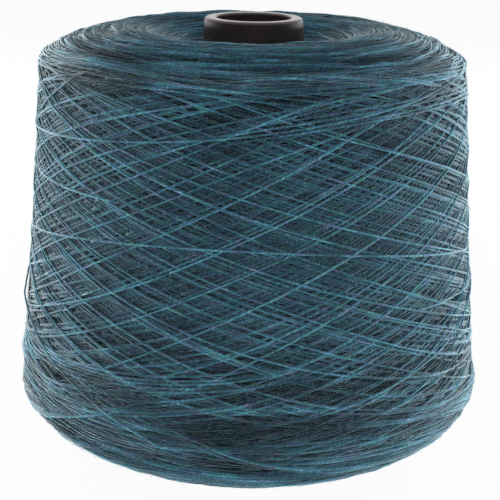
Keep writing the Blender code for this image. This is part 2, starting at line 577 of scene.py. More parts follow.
# %% [markdown]
# ### The strokes
#
# The winding machine turns the package and moves the yarn up and down at the same time. One stroke
# up and one down is a *double stroke*. The yarn climbs at a steeper angle than it comes down, and
# at each end it swings round in a wide curve.
#
# On the side of a cone a line of yarn at a steady slope is easy to write down: the angle grows in
# step with a table of how far round a line at 45 degrees has come. Two such lines meet at a corner,
# and a wide curve rounds it off.

# %% Lines and curves of yarn
MIDDLE_RADIUS = 83 * MM

run_middle = 0.5 * (run_top + run_base)
around = np.cumsum(OUTLINE_STEP / radius_table)
around_table = np.interp(run_middle, run_table, around) - around
print("a line at 45 degrees goes round by", round(float(np.ptp(around_table)), 2), "radians")


def line(start, slope, run):
    """Angles along a straight line of yarn that passes the middle of the side at a start angle."""
    return start + np.interp(run, run_table, around_table) / math.tan(slope)


def straight(start, slope, run_from, run_to):
    """A straight stretch of yarn between two runs."""
    count = max(2, int(abs(run_to - run_from) / (STEP * math.sin(abs(slope)))))
    run = np.linspace(run_from, run_to, count)
    return line(start, slope, run), run, np.full(count, slope)


def corner_run(before, slope_before, after, slope_after):
    """The run at which two straight lines of yarn would meet."""
    height = (after - before) / (1.0 / math.tan(slope_before) - 1.0 / math.tan(slope_after))
    return float(np.interp(-height, -around_table, run_table))


def swing_for(target, corner, slope_before, slope_after, limits):
    """The radius of turn that makes yarn turn back at a target run."""
    half_turn = 0.5 * (abs(slope_before) + abs(slope_after))
    tilt = 0.5 * (abs(slope_before) - abs(slope_after))
    swing = abs(target - corner) * math.cos(tilt) / (1.0 / math.cos(half_turn) - 1.0)
    return float(np.clip(swing, *limits))


def turn_back(before, slope_before, after, slope_after, swing, corner):
    """A wide curve from one straight line into the next."""
    turn = slope_after - slope_before
    tangent = swing * math.tan(abs(turn) / 2)
    distance = np.arange(0.0, swing * abs(turn), STEP)
    heading = slope_before + turn * distance / distance[-1]
    run = corner + tangent * math.sin(slope_before) - np.cumsum(np.sin(heading)) * STEP
    angle = line(before, slope_before, run[0]) + np.cumsum(
        np.cos(heading) * STEP / np.interp(run, run_table, radius_table))
    # The curve was worked out as if the surface were flat, so a small error is left to spread.
    angle += (line(after, slope_after, run[-1]) - angle[-1]) * distance / distance[-1]
    return angle, run, heading


# %% [markdown]
# The number of turns in a double stroke decides the pattern. If it were a simple fraction, each
# yarn would lie on top of an earlier one. Here it is a fraction with nineteen in it and a
# little more, so the newest yarns make diamonds about a finger wide, and the older ones lie close
# beside them inside each diamond.
#
# The machine also lets the ends of its stroke wander, which is what keeps the shoulders soft. Slow
# waves stand for that, and a little noise on each stroke stands for the jerks of a real machine. The
# last strokes, which nothing has pressed yet, lie less evenly and sag less.

# %% Strokes
CLIMB = math.radians(26.0)
DESCENT = math.radians(18.7)
DOUBLE_STROKES = 500
TURNS_IN_STROKE = 1.0 + 16.0 / 19.0
TURNS_WHILE_HIGH = 0.495
PATTERN_REPEAT = 19
CREEP_PER_REPEAT = 3.4 * MM
CREEP_WAVE = 0.35
CREEP_PACE = 37.0
FRESH_STROKES = 26
END_INSET = 8 * MM
TOP_WANDER = (6 * MM, 31.0)
TOP_SCATTER = 3.5 * MM
TOP_SWINGS = (50 * MM, 320 * MM)
BASE_WANDER = (11 * MM, 37.0)
BASE_SCATTER = 5.0 * MM
BASE_SWINGS = (150 * MM, 640 * MM)
CLIMB_WANDER = (0.030, 90.0)
DESCENT_WANDER = (0.026, 110.0)
SLOPE_SCATTER_FRESH = 0.024
SLOPE_SCATTER_OLD = 0.005
SLIP_FRESH = 1.4 * MM
SLIP_OLD = 0.25 * MM
BIG_SLIP = 3.0 * MM
BIG_SLIP_SHARE = 0.06
RIPPLE = 0.22 * MM
RIPPLE_MM = (12, 30)
SIDE_BEND = 92 * MM


def wander(count, spread, pace):
    """A slow random wave of about one spread up and down, over some strokes as its pace."""
    k = np.arange(count)
    phase = chance.uniform(0.0, math.tau, 3)
    wave = np.sin(k / pace + phase[0]) + 0.6 * np.sin(k / pace * 2.3 + phase[1])
    return spread * 0.6 * (wave + 0.3 * np.sin(k / pace * 5.1 + phase[2]))


def wind_strokes():
    """Wind all the double strokes, one after the other, as one yarn."""
    count = DOUBLE_STROKES + 1
    fresh = np.arange(count) >= DOUBLE_STROKES - FRESH_STROKES
    top_target = run_top - END_INSET + wander(count, *TOP_WANDER)
    top_target += chance.normal(0.0, TOP_SCATTER, count)
    base_target = run_base - END_INSET + wander(count, *BASE_WANDER)
    base_target += chance.normal(0.0, BASE_SCATTER, count)
    unrest = np.where(fresh, SLOPE_SCATTER_FRESH, SLOPE_SCATTER_OLD)
    climb = CLIMB + wander(count, *CLIMB_WANDER) + chance.normal(0.0, 1.0, count) * unrest
    descent = DESCENT + wander(count, *DESCENT_WANDER)
    descent = -(descent + chance.normal(0.0, 1.0, count) * unrest)

    slip = chance.normal(0.0, 1.0, (2, count)) * np.where(fresh, SLIP_FRESH, SLIP_OLD)
    big = chance.random((2, count)) < BIG_SLIP_SHARE
    slip += big * chance.normal(0.0, BIG_SLIP, (2, count))
    slip /= MIDDLE_RADIUS
    creep = CREEP_PER_REPEAT * (1.0 + CREEP_WAVE * np.sin(np.arange(count) / CREEP_PACE))
    start = np.cumsum(TURNS_IN_STROKE * math.tau + creep / PATTERN_REPEAT / MIDDLE_RADIUS)
    up = start + slip[0]
    down = start + TURNS_WHILE_HIGH * TURNS_IN_STROKE * math.tau + slip[1]

    turns_run = []
    from_run = run_base
    for k in range(DOUBLE_STROKES):
        corner = corner_run(up[k], climb[k], down[k], descent[k])
        swing = swing_for(top_target[k], corner, climb[k], descent[k], TOP_SWINGS)
        top_turn = turn_back(up[k], climb[k], down[k], descent[k], swing, corner)
        corner = corner_run(down[k], descent[k], up[k + 1], climb[k + 1])
        swing = swing_for(base_target[k], corner, descent[k], climb[k + 1], BASE_SWINGS)
        base_turn = turn_back(down[k], descent[k], up[k + 1], climb[k + 1], swing, corner)
        stretches = (
            straight(up[k], climb[k], from_run, top_turn[1][0]),
            top_turn,
            straight(down[k], descent[k], top_turn[1][-1], base_turn[1][0]),
            base_turn,
        )
        angle, run, heading = (np.concatenate(column) for column in zip(*stretches))
        ripple = chance.normal(0.0, RIPPLE)
        ripple = ripple * np.sin(np.arange(len(run)) * STEP / chance.uniform(*RIPPLE_MM) / MM)
        run = np.clip(run + ripple, RUN_MARGIN, run_end - RUN_MARGIN)
        lay(angle, run, heading, SIDE_BEND, sag=FRESH_SAG if fresh[k] else PRESSED_SAG)
        turns_run.append((top_turn[1].min(), base_turn[1].max()))
        from_run = base_turn[1][-1]
    spread = np.percentile(np.array(turns_run) * 1000, (5, 50, 95), axis=0).round(1)
    print("turns back at, mm of run (top, base):", *spread)


wind_strokes()

# %% [markdown]
# ### The last turns at the shoulders
#
# Round both shoulders the newest yarn lies in bundles: a few turns side by side, each curved where
# the yarn turned back, and close together because the machine dwelt there for a moment. They are
# what hides the ends of the older strokes.

# %% Late turns
LATE_SAG = 0.35
LATE_AROUND = 0.2
LATE_SLANT = 0.08
LATE_OWN_SLANT = 0.008
LATE_DRIFT = 0.06
LATE_SWING_MM = (330, 800)
LATE_REACH_MM = (50, 110)
LATE_GAP_MM = (0.9, 2.0)
LATE_SINK = 1.2 * MM
LATE_IN_BUNDLE = (2, 7)


def lay_late_turns(middle_run, spread, bundles, side):
    """Bundles of the last turns near one end, curved as yarn is where it turns back.

    Side is 1 where the yarn turns back downwards, at the base, and -1 at the top.
    """
    for k in range(bundles):
        centre = GOLDEN_TURN * k + chance.normal(0.0, LATE_AROUND)
        place = middle_run + spread * chance.uniform(-1.0, 1.0)
        slant = chance.normal(0.0, LATE_SLANT)
        swing = chance.uniform(*LATE_SWING_MM) * MM
        for number in range(chance.integers(*LATE_IN_BUNDLE)):
            reach = chance.uniform(*LATE_REACH_MM) * MM
            distance = np.arange(-reach, reach, STEP)
            own_slant = slant + chance.normal(0.0, LATE_OWN_SLANT)
            run = place + own_slant * distance - side * distance * distance / (2.0 * swing)
            radius = np.interp(run, run_table, radius_table)
            angle = centre + np.cumsum(STEP / radius) - reach / radius.mean()
            heading = -np.arctan(own_slant - side * distance / swing)
            ends = np.clip(np.abs(distance) / reach - 0.75, 0.0, None) / 0.25
            lay(angle, run, heading, SIDE_BEND, sag=LATE_SAG, lift=-LATE_SINK * ends ** 2)
            place += chance.uniform(*LATE_GAP_MM) * MM
            centre += chance.normal(0.0, LATE_DRIFT)


before = len(lengths)
lay_late_turns(run_base - 1 * MM, 21 * MM, 26, 1)
lay_late_turns(run_top - 4 * MM, 10 * MM, 10, -1)
lay_late_turns(run_base + 19 * MM, 13 * MM, 24, 1)
print("late turns:", len(lengths) - before)

# %% [markdown]
# ### Strays
#
# Here and there a yarn runs nearly level across all the others, where the machine was stopped and
# started again. One of them hangs slack over a short way. They are few, and each is listed one by
# one: its height, its slope and how much that changes, the angle of its middle, its reach each way,
# and its slack.

# %% Strays
SLACK_REACH = 30 * MM
STRAY_SINK = 1.0 * MM
STRAYS = (
    (138 * MM, 0.105, 0.05, -0.62 * math.pi, 150 * MM, 0.0),
    (104 * MM, -0.02, -0.16, -0.52 * math.pi, 130 * MM, 0.0),
    (76 * MM, 0.06, 0.10, 0.35 * math.pi, 170 * MM, 0.0),
    (121 * MM, -0.08, 0.06, 0.80 * math.pi, 140 * MM, 0.0),
    (72 * MM, -0.36, 0.0, math.pi, 110 * MM, 1.4 * MM),
)


def lay_stray(height, slope, sway, middle, reach, slack):
    """One late yarn that runs nearly level and sinks in at both ends."""
    centre = float(np.interp(-height, -height_table, run_table))
    radius = float(np.interp(centre, run_table, radius_table))
    distance = np.arange(-reach, reach, STEP)
    heading = slope + sway * np.sin(distance / reach * 2.2)
    run = centre - np.cumsum(np.sin(heading)) * STEP
    run += centre - run[len(run) // 2]
    ends = np.clip(np.abs(distance) / reach - 0.85, 0.0, None) / 0.15
    lift = slack * np.exp(-(distance / SLACK_REACH) ** 2) - STRAY_SINK * ends ** 2
    lay(middle + distance / radius, run, heading, SIDE_BEND, sag=FRESH_SAG, lift=lift)


for stray in STRAYS:
    lay_stray(*stray)
laid = sum(distance[-1] for angle, run, top, distance, heading in lengths)
print(f"{laid:.0f} m of yarn in {len(lengths)} lengths")

# %% [markdown]
# The table now says how high the yarn stands everywhere. Its upper level over a full turn is the
# thickness of what was wound at each run. Taking that off puts the outside of the wound yarn on the
# outline of the solid model, however much was wound.

# %% Settle the winding on the outline
UPPER_LEVEL = 85
LOWER_LEVEL = 4
LEVEL_EASE = 7 * MM

grid_run = (np.arange(grid.shape[0]) + 0.5) * GRID_RUN


def eased(levels):
    """Values for each row of the height table, evened out and read at the outline's runs."""
    return smoothed(np.interp(run_table, grid_run, levels), LEVEL_EASE)


def print_along(label, table):
    """Print a few values along the outline, in millimetres."""
    print(label, np.round(table[:: len(table) // 8] * 1000, 2))


wound_table = eased(np.percentile(grid, UPPER_LEVEL, axis=1))
bottom_table = eased(np.percentile(grid, LOWER_LEVEL, axis=1))
print_along("wound thickness, mm:", wound_table)
print_along("hollows, mm:", wound_table - bottom_table)


def settled(run, top):
    """Height of the middle of the yarn above the outline, from the top that it was wound to."""
    return top - np.interp(run, run_table, wound_table) - YARN_THICKNESS / 2


# %% [markdown]
# Yarn that lies low gets less light than yarn on top, so each place should know how deep it lies,
# and the yarn's colour gets a painted shade by that depth.
# The highest yarn near it is found by spreading the heights out, in steps of a few cells, to both
# sides and both ways along the run. The depth below that is then divided by what is usual at the
# run, because the end faces are rougher than the side and would all come out dark otherwise.

# %% How deep each yarn lies
SPREADING_STEPS = (1, 2, 4, 8, 8)

surface_level = grid - np.interp(grid_run, run_table, wound_table)[:, None]
near_top = surface_level
for axis in (0, 1):
    for shift in SPREADING_STEPS:
        beside = np.maximum(np.roll(near_top, shift, axis), np.roll(near_top, -shift, axis))
        near_top = np.maximum(near_top, beside)
usual_table = eased((near_top - surface_level).mean(axis=1))
print_along("usual depth, mm:", usual_table)


def depth_below(angle, run, top):
    """How far yarn lies under the highest yarn near it; one is what is usual at that run."""
    level = top - np.interp(run, run_table, wound_table)
    depth = near_top[cells(angle, run)] - level
    return np.clip(depth / np.interp(run, run_table, usual_table), 0.0, None)


# %% [markdown]
# Most of the yarn is out of sight under later yarn. Only the parts that reach the top of the table
# somewhere, and a little on each side of them, are worth making into meshes.

# %% Keep what can be seen
SEEN_UNDER = 0.34 * MM
SEEN_BESIDE = 2.7 * MM
LONGEST_GAP = 5.0 * MM
LARGEST_TURN = 0.06
LARGEST_ERROR = 0.035 * MM
FEWEST_SAMPLES = 6
SMOOTHING_SAMPLES = 5


def worth_keeping(distance, height, heading):
    """Which samples shape the yarn: the fewest that stay close to its height and its turns."""
    turn = np.concatenate([[0.0], np.cumsum(np.abs(np.diff(heading)))])
    keep = [0]
    last = len(distance) - 1
    i = 0
    while i < last:
        j = min(i + max(1, int(LONGEST_GAP / STEP)), last)
        while j > i + 3:
            chord = height[i] + (height[j] - height[i]) * np.linspace(0.0, 1.0, j - i + 1)
            error = np.abs(chord - height[i:j + 1]).max()
            if error < LARGEST_ERROR and turn[j] - turn[i] < LARGEST_TURN:
                break
            j -= 2
        i = max(j, i + 1)
        keep.append(i)
    return keep


def visible_parts(angle, run, top, distance, heading):
    """Cut one length into the parts that can be seen."""
    depth = grid[cells(angle, run)] - top
    seen = depth < SEEN_UNDER
    reach = int(SEEN_BESIDE / STEP)
    near = np.convolve(seen, np.ones(2 * reach + 1), mode="same") > 0.5
    edges = np.flatnonzero(np.diff(np.concatenate([[0], near.astype(int), [0]])))
    for first, after in zip(edges[::2], edges[1::2]):
        if after - first < FEWEST_SAMPLES:
            continue
        part = slice(first, after)
        smooth_top = running_mean(top[part], SMOOTHING_SAMPLES)
        keep = worth_keeping(distance[part], smooth_top, heading[part])
        yield angle[part][keep], run[part][keep], smooth_top[keep]


def all_visible(some_lengths):
    """The visible parts of many lengths, in one list."""
    return [part for length in some_lengths for part in visible_parts(*length)]


end_parts = all_visible(lengths[:end_face_lengths])
stroke_parts = all_visible(lengths[end_face_lengths:])
for name, parts in (("end faces", end_parts), ("strokes", stroke_parts)):
    print(name, len(parts), "parts,", sum(len(part[0]) for part in parts), "points")

# %% [markdown]
# ### Yarn as tubes
#
# Each part becomes a thin tube with six sides and closed ends. A ring of corners is set round every
# point, square to the yarn, and the rings are joined up. Numpy does all the rings of an object at
# once, which takes seconds where a loop over corners would take minutes.
#
# Two UV maps go with the tubes. One says how far along the yarn and how far round it each corner
# is, for the material to read. The other lays the tubes side by side like tapes on a square sheet,
# for anyone who wants to paint or bake them.
#
# The tubes go into several objects of moderate size, because one object with a million faces is
# slow to handle in any program.

# %% From arrays to a mesh
def mesh_from(name, corners, faces, material, maps=(), depth=None):
    """A smooth-shaded mesh object from arrays of corners and quads."""
    mesh = bpy.data.meshes.new(name)
    mesh.vertices.add(len(corners))
    mesh.vertices.foreach_set("co", corners.astype(np.float32).ravel())
    mesh.loops.add(faces.size)
    mesh.loops.foreach_set("vertex_index", faces.astype(np.int32).ravel())
    mesh.polygons.add(len(faces))
    starts = np.arange(0, faces.size, faces.shape[1], dtype=np.int32)
    mesh.polygons.foreach_set("loop_start", starts)
    mesh.update(calc_edges=True)
    for label, places in maps:
        layer = mesh.uv_layers.new(name=label)
        layer.uv.foreach_set("vector", places.astype(np.float32).ravel())
    if depth is not None:
        attribute = mesh.attributes.new("depth", "FLOAT", "POINT")
        attribute.data.foreach_set("value", depth.astype(np.float32))
    mesh.shade_smooth()
    mesh.materials.append(material)
    piece = bpy.data.objects.new(name, mesh)
    bpy.context.scene.collection.objects.link(piece)
    return piece


# %% Places on the UV maps
SHEET_ROWS = 128
TAPE_GAP = 10 * MM
CAP_LENGTH = 0.3 * MM


def corners_of_quads(u0, u1, v0, v1):
    """UV corners of many quads, in the order in which tube quads list theirs."""
    return np.stack([np.stack([u0, v0], 1), np.stack([u0, v1], 1),
                     np.stack([u1, v1], 1), np.stack([u1, v0], 1)], axis=1).reshape(-1, 2)


def tape_places(begin, end, side, total, shares):
    """Where quads lie on the sheet, if the yarn is cut into rows of tape."""
    row_length = total / SHEET_ROWS + TAPE_GAP
    row = np.floor(begin / row_length)
    u0 = (begin - row * row_length) / (row_length + TAPE_GAP)
    u1 = (end - row * row_length) / (row_length + TAPE_GAP)
    v0 = (row + (side + 1.0) / shares) / SHEET_ROWS
    v1 = (row + (side + 2.0) / shares) / SHEET_ROWS
    return u0, u1, v0, v1


# %% Tubes
def tube_corners(points, outward, radius, joined, sides):
    """A ring of corners round every point, square to the yarn."""
    here = np.arange(len(points))
    following = here + np.append(joined, False)
    before = here - np.insert(joined, 0, False)
    along = points[following] - points[before]
    along /= np.linalg.norm(along, axis=1, keepdims=True)
    across = np.cross(along, outward)
    across /= np.linalg.norm(across, axis=1, keepdims=True)
    up = np.cross(across, along)
    turn = np.arange(sides) * math.tau / sides
    ring = np.cos(turn)[None, :, None] * up[:, None, :]
    ring = ring + np.sin(turn)[None, :, None] * across[:, None, :]
    corners = points[:, None, :] + ring * radius[:, None, None]
    return corners.reshape(-1, 3)


def tube_faces(start, firsts, lasts, sides):
    """Quads between neighbouring rings, then quads that close both ends of each tube."""
    side = np.arange(sides)
    first = start[:, None] * sides + side
    beside = start[:, None] * sides + (side + 1) % sides
    walls = np.stack([first, beside, beside + sides, first + sides], axis=2).reshape(-1, 4)
    cap = np.array([[0, i + 2, i + 1, i] for i in range(1, sides - 2, 2)])
    near = (firsts[:, None, None] * sides + cap).reshape(-1, 4)
    far = (lasts[:, None, None] * sides + cap[:, ::-1]).reshape(-1, 4)
    return np.concatenate([walls, near, far])


def tube_maps(points, start, firsts, lasts, shifts, sides):
    """Both UV maps, with the quads in the same order as their faces."""
    steps = np.zeros(len(points))
    steps[start + 1] = np.linalg.norm(points[start + 1] - points[start], axis=1)
    reach = np.cumsum(steps)
    begin = np.repeat(reach[start], sides)
    end = np.repeat(reach[start + 1], sides)
    side = np.tile(np.arange(sides), len(start))
    shift = np.repeat(shifts[start], sides)
    closed = np.concatenate([firsts, lasts])
    quads_in_cap = (sides - 2) // 2
    cap = np.repeat(reach[closed], quads_in_cap)
    cap_shift = np.repeat(shifts[closed], quads_in_cap)
    cap_side = np.full(len(cap), sides)
    zero = np.zeros(len(cap))
    runs = np.concatenate([
        corners_of_quads(begin + shift, end + shift, side / sides, (side + 1.0) / sides),
        corners_of_quads(cap + cap_shift, cap + cap_shift + CAP_LENGTH, zero, zero + 1.0)])
    tapes = np.concatenate([
        corners_of_quads(*tape_places(begin, end, side, reach[-1], sides + 2)),
        corners_of_quads(*tape_places(cap, cap + CAP_LENGTH, cap_side, reach[-1], sides + 2))])
    return ("yarn_run", runs), ("OFBake", tapes)


def build_tubes(name, points, outward, radius, depth, part, shifts, sides, material):
    """One object with a closed tube along each part of a long list of points."""
    joined = part[1:] == part[:-1]
    start = np.flatnonzero(joined)
    firsts = np.flatnonzero(np.insert(~joined, 0, True))
    lasts = np.flatnonzero(np.append(~joined, True))
    corners = tube_corners(points, outward, radius, joined, sides)
    faces = tube_faces(start, firsts, lasts, sides)
    maps = tube_maps(points, start, firsts, lasts, shifts, sides)
    return mesh_from(name, corners, faces, material, maps, np.repeat(depth, sides))


# %% Tubes shared out over objects
YARN_SIDES = 6
MOST_QUADS = 94000
LONGEST_SHIFT = 40.0


def build_many(name, points, outward, radius, depth, part, sides, material):
    """Share many parts out over as many objects as they need.

    Each part gets a shift along the colour pattern, so that no two parts are dyed alike.
    """
    shifts = chance.uniform(0.0, LONGEST_SHIFT, part[-1] + 1)[part]
    box = (np.arange(len(part)) * sides) // MOST_QUADS
    box = box[np.searchsorted(part, part)]
    pieces = []
    for number in np.unique(box):
        chosen = box == number
        pieces.append(build_tubes(
            f"{name}_{number + 1}", points[chosen], outward[chosen], radius[chosen],
            depth[chosen], part[chosen], shifts[chosen], sides, material))
    return pieces


# %% [markdown]
# ## Finishes
#
# The yarn is spun from dyed fibres of several colours, teal, blue, green and a little grey-violet,
# and two such threads are twisted together. Seen from near, the colours run round the yarn in short
# slanting streaks; from far they mix into one lively teal.
#
# The material reads how far along and how far round the yarn a place is. Winding the second number
# forward as the first one grows makes every streak follow the twist.

# %% Nodes for finishes
def noise(tree, source, scale, detail, dimensions="3D"):
    """A soft random pattern, through space or along a single number."""
    made = node(tree, "ShaderNodeTexNoise", noise_dimensions=dimensions)
    made.inputs["Scale"].default_value = scale
    made.inputs["Detail"].default_value = detail
    tree.links.new(source, made.inputs["W" if dimensions == "1D" else "Vector"])
    return made.outputs["Fac"]


def ramp(tree, source, stops):
    """Turn a number into a colour, by stops of a place and a colour each."""
    made = node(tree, "ShaderNodeValToRGB")
    elements = made.color_ramp.elements
    while len(elements) > 1:
        elements.remove(elements[-1])
    elements[0].position = stops[0][0]
    elements[0].color = (*stops[0][1], 1.0)
    for place, colour in stops[1:]:
        elements.new(place).color = (*colour, 1.0)
    tree.links.new(source, made.inputs["Fac"])
    return made.outputs["Color"]


def multiplied(tree, first, second):
    """One colour dyed or darkened by another."""
    made = node(tree, "ShaderNodeMix", data_type="RGBA", blend_type="MULTIPLY")
    made.inputs[0].default_value = 1.0
    tree.links.new(first, made.inputs[6])
    tree.links.new(second, made.inputs[7])
    return made.outputs[2]


def add_relief(tree, shader, height, distance, strength=1.0):
    """Let a pattern tilt the light on a surface, as fine relief does."""
    bump = node(tree, "ShaderNodeBump")
    bump.inputs["Strength"].default_value = strength
    bump.inputs["Distance"].default_value = distance
    tree.links.new(height, bump.inputs["Height"])
    tree.links.new(bump.outputs[0], shader.inputs["Normal"])


def yarn_reach_and_side(tree):
    """How far along the yarn a place is, in metres, and how far round it, in turns."""
    uv = node(tree, "ShaderNodeUVMap", uv_map="yarn_run")
    split = node(tree, "ShaderNodeSeparateXYZ")
    tree.links.new(uv.outputs[0], split.inputs[0])
    return split.outputs[0], split.outputs[1]


# %% [markdown]
# Three things make the colour of the yarn. Streaks of dyed fibre follow the twist. Over them goes a
# slower change of hue, from one tuft of fibre to the next. Last comes a painted shade: yarn that
# lies deep is darkened, because little light comes back out of the hollows between the upper yarns,
# and yarn on top is painted lighter.
#
# The surface scatters light more than it shines, and the fine hair on it catches light from the
# side. The sheen of the shader stands for that.

# %% Yarn material
TWIST_LENGTH = 2.2 * MM
STREAKS_PER_METRE = 420.0
STREAKS_ROUND = 0.8
TUFTS_PER_METRE = 110.0
DEEPEST = 1.65
SHEEN_TINT = (0.84, 0.97, 1.0, 1.0)
HEATHER = (
    (0.30, (0.027, 0.088, 0.128)),
    (0.43, (0.047, 0.158, 0.228)),
    (0.55, (0.070, 0.230, 0.298)),
    (0.70, (0.195, 0.405, 0.500)),
)
TUFT_SHADES = (
    (0.30, (1.55, 0.80, 1.00)),
    (0.42, (1.14, 0.92, 1.10)),
    (0.50, (0.92, 1.00, 1.00)),
    (0.58, (0.85, 1.06, 1.02)),
    (0.70, (0.98, 1.10, 0.82)),
)
# Painted shade by depth: yarn on top is painted lighter, and deep yarn darker.
PAINTED_DEPTH_SHADE = (
    (0.00, (1.55, 1.55, 1.55)),
    (0.16, (0.95, 0.95, 0.95)),
    (0.34, (0.56, 0.55, 0.56)),
    (0.55, (0.33, 0.31, 0.33)),
    (0.85, (0.17, 0.155, 0.17)),
)


def make_yarn_material():
    """Heathered two-ply yarn."""
    material, tree, shader = new_material("heathered_yarn", {
        "Roughness": 0.85,
        "Specular IOR Level": 0.08,
        "Sheen Weight": 1.0,
        "Sheen Roughness": 0.35,
        "Sheen Tint": SHEEN_TINT,
    })
    reach, side = yarn_reach_and_side(tree)
    twist = maths(tree, "ADD", side, maths(tree, "DIVIDE", reach, TWIST_LENGTH))
    turn = maths(tree, "MULTIPLY", twist, math.tau)
    place = node(tree, "ShaderNodeCombineXYZ")
    tree.links.new(maths(tree, "MULTIPLY", reach, STREAKS_PER_METRE), place.inputs[0])
    for index, operation in ((1, "COSINE"), (2, "SINE")):
        across = maths(tree, "MULTIPLY", maths(tree, operation, turn), STREAKS_ROUND)
        tree.links.new(across, place.inputs[index])

    streaks = noise(tree, place.outputs[0], 1.0, 3.0)
    heather = ramp(tree, streaks, HEATHER)
    tufts = ramp(tree, noise(tree, reach, TUFTS_PER_METRE, 2.0, "1D"), TUFT_SHADES)
    depth = node(tree, "ShaderNodeAttribute", attribute_name="depth")
    # The painted shade by depth darkens deep yarn and lightens yarn on top.
    painted_depth_shade = ramp(tree, maths(tree, "DIVIDE", depth.outputs["Fac"], DEEPEST), PAINTED_DEPTH_SHADE)
    colour = multiplied(tree, multiplied(tree, heather, tufts), painted_depth_shade)
    tree.links.new(colour, shader.inputs["Base Color"])

    # The two plies make a rope of ridges, and loose fibres roughen it.
    ridges = maths(tree, "SINE", maths(tree, "MULTIPLY", turn, 2.0))
    relief = maths(tree, "ADD", maths(tree, "MULTIPLY", ridges, 0.6), streaks)
    add_relief(tree, shader, relief, 0.06 * MM, 0.6)
    return material


yarn_material = make_yarn_material()
print("finish:", yarn_material.name)

# %% [markdown]
# A real yarn isn't equally thick everywhere, so each tube swells and thins a little on its way.

# %% Turn the parts into objects
YARN_UNEVENNESS = 0.09


def yarn_objects(name, parts):
    """Tubes for a list of parts, a little thicker and thinner from place to place."""
    angle, run, top = (np.concatenate(column) for column in zip(*parts))
    part = np.repeat(np.arange(len(parts)), [len(each[0]) for each in parts])
    swell = running_mean(chance.normal(0.0, YARN_UNEVENNESS, len(angle)), 2)
    points = place_on(angle, run, settled(run, top))
    radius = YARN_THICKNESS / 2 * (1.0 + swell)
    depth = depth_below(angle, run, top)
    outward = outward_at(angle, run)
    return build_many(name, points, outward, radius, depth, part, YARN_SIDES, yarn_material)


yarn_pieces = yarn_objects("end_face_turns", end_parts)
yarn_pieces += yarn_objects("wound_yarn", stroke_parts)
for piece in yarn_pieces:
    print(piece.name, len(piece.data.polygons), "quads")

# %% [markdown]
# ### Loose fibres
#
# Spun yarn is hairy. Thousands of fine fibre ends stand up from it, and they are what makes the
# outline of a package soft and its sides pale where they turn away. Each is a very thin tube that
# leaves the surface, bows over and comes back or ends in the air. Most lie close, and a few reach
# far, which is what a gamma distribution gives.

# %% Fibre material
FIBRE_DYES_PER_METRE = 60.0
FIBRE_DYES = (
    (0.32, (0.19, 0.24, 0.35)),
    (0.46, (0.10, 0.29, 0.37)),
    (0.56, (0.14, 0.37, 0.42)),
    (0.68, (0.19, 0.37, 0.36)),
)


def make_fibre_material():
    """Pale single fibres of the yarn's colours."""
    material, tree, shader = new_material("loose_fibre", {
        "Roughness": 0.7,
        "Specular IOR Level": 0.2,
    })
    reach, side = yarn_reach_and_side(tree)
    dyes = noise(tree, reach, FIBRE_DYES_PER_METRE, 1.0, "1D")
    tree.links.new(ramp(tree, dyes, FIBRE_DYES), shader.inputs["Base Color"])
    return material


fibre_material = make_fibre_material()
print("finish:", fibre_material.name)

# %% Fibres
FIBRES = 42000
FIBRE_SIDES = 4
FIBRE_POINTS = 5
FIBRE_THICKNESS = 0.06 * MM
FIBRE_LENGTH_MM = (2.0, 6.0)
FIBRE_CURL = 0.8
FIBRE_LEAN = 0.6
FIBRE_REACH_SHAPE = 2.2
FIBRE_REACH_MM = 0.20


def fibre_objects(count):
    """Thin bowed tubes scattered evenly over the package."""
    area = np.cumsum(radius_table)
    place = np.interp(chance.random(count) * area[-1], area, run_table)[:, None]
    share = np.linspace(0.0, 1.0, FIBRE_POINTS)[None, :]
    heading = chance.uniform(-math.pi, math.pi, (count, 1))
    heading = heading + share * chance.normal(0.0, FIBRE_CURL, (count, 1))
    step = chance.uniform(*FIBRE_LENGTH_MM, (count, 1)) * MM / (FIBRE_POINTS - 1)
    radius = np.interp(place, run_table, radius_table)
    start = chance.uniform(0.0, math.tau, (count, 1))
    angle = start + np.cumsum(np.cos(heading), axis=1) * step / radius
    climb = np.cumsum(np.sin(heading), axis=1) * step * FIBRE_LEAN
    run = np.clip(place - climb, 0.0, run_end)
    reach = chance.gamma(FIBRE_REACH_SHAPE, FIBRE_REACH_MM, (count, 1)) * MM
    bow = 0.5 + 0.5 * chance.random((count, 1))
    rise = reach * np.sin(share * math.pi * bow) ** 1.2
    top = grid[cells(angle, run)].mean(axis=1, keepdims=True)
    lift = settled(run, top) + rise + YARN_THICKNESS * 0.3
    thickness = np.broadcast_to(FIBRE_THICKNESS / 2 * (1.0 - 0.5 * share), angle.shape)
    part = np.repeat(np.arange(count), FIBRE_POINTS)
    angle, run = angle.ravel(), run.ravel()
    points = place_on(angle, run, lift.ravel())
    depth = np.zeros(len(part))
    return build_many("loose_fibres", points, outward_at(angle, run), thickness.ravel(),
                      depth, part, FIBRE_SIDES, fibre_material)


fibre_pieces = fibre_objects(FIBRES)
for piece in fibre_pieces:
    print(piece.name, len(piece.data.polygons), "quads")

# %% [markdown]
# ## The heart of the package
#
# Under the tubes there are thousands of older turns that nobody will ever see one by one. A plain
# turned surface just below the tubes stands for them. Its colour is a painted shade, darker than
# the yarn, because little light gets down there, and it is mottled and rough, as packed yarn is.

# %% Heart material
MOTTLES_PER_METRE = 900.0
# Painted shade: colours of packed yarn, darkened for the little light that gets down there.
PACKED_YARN_PAINTED_SHADE = (
    (0.35, (0.010, 0.024, 0.030)),
    (0.65, (0.028, 0.060, 0.070)),
)


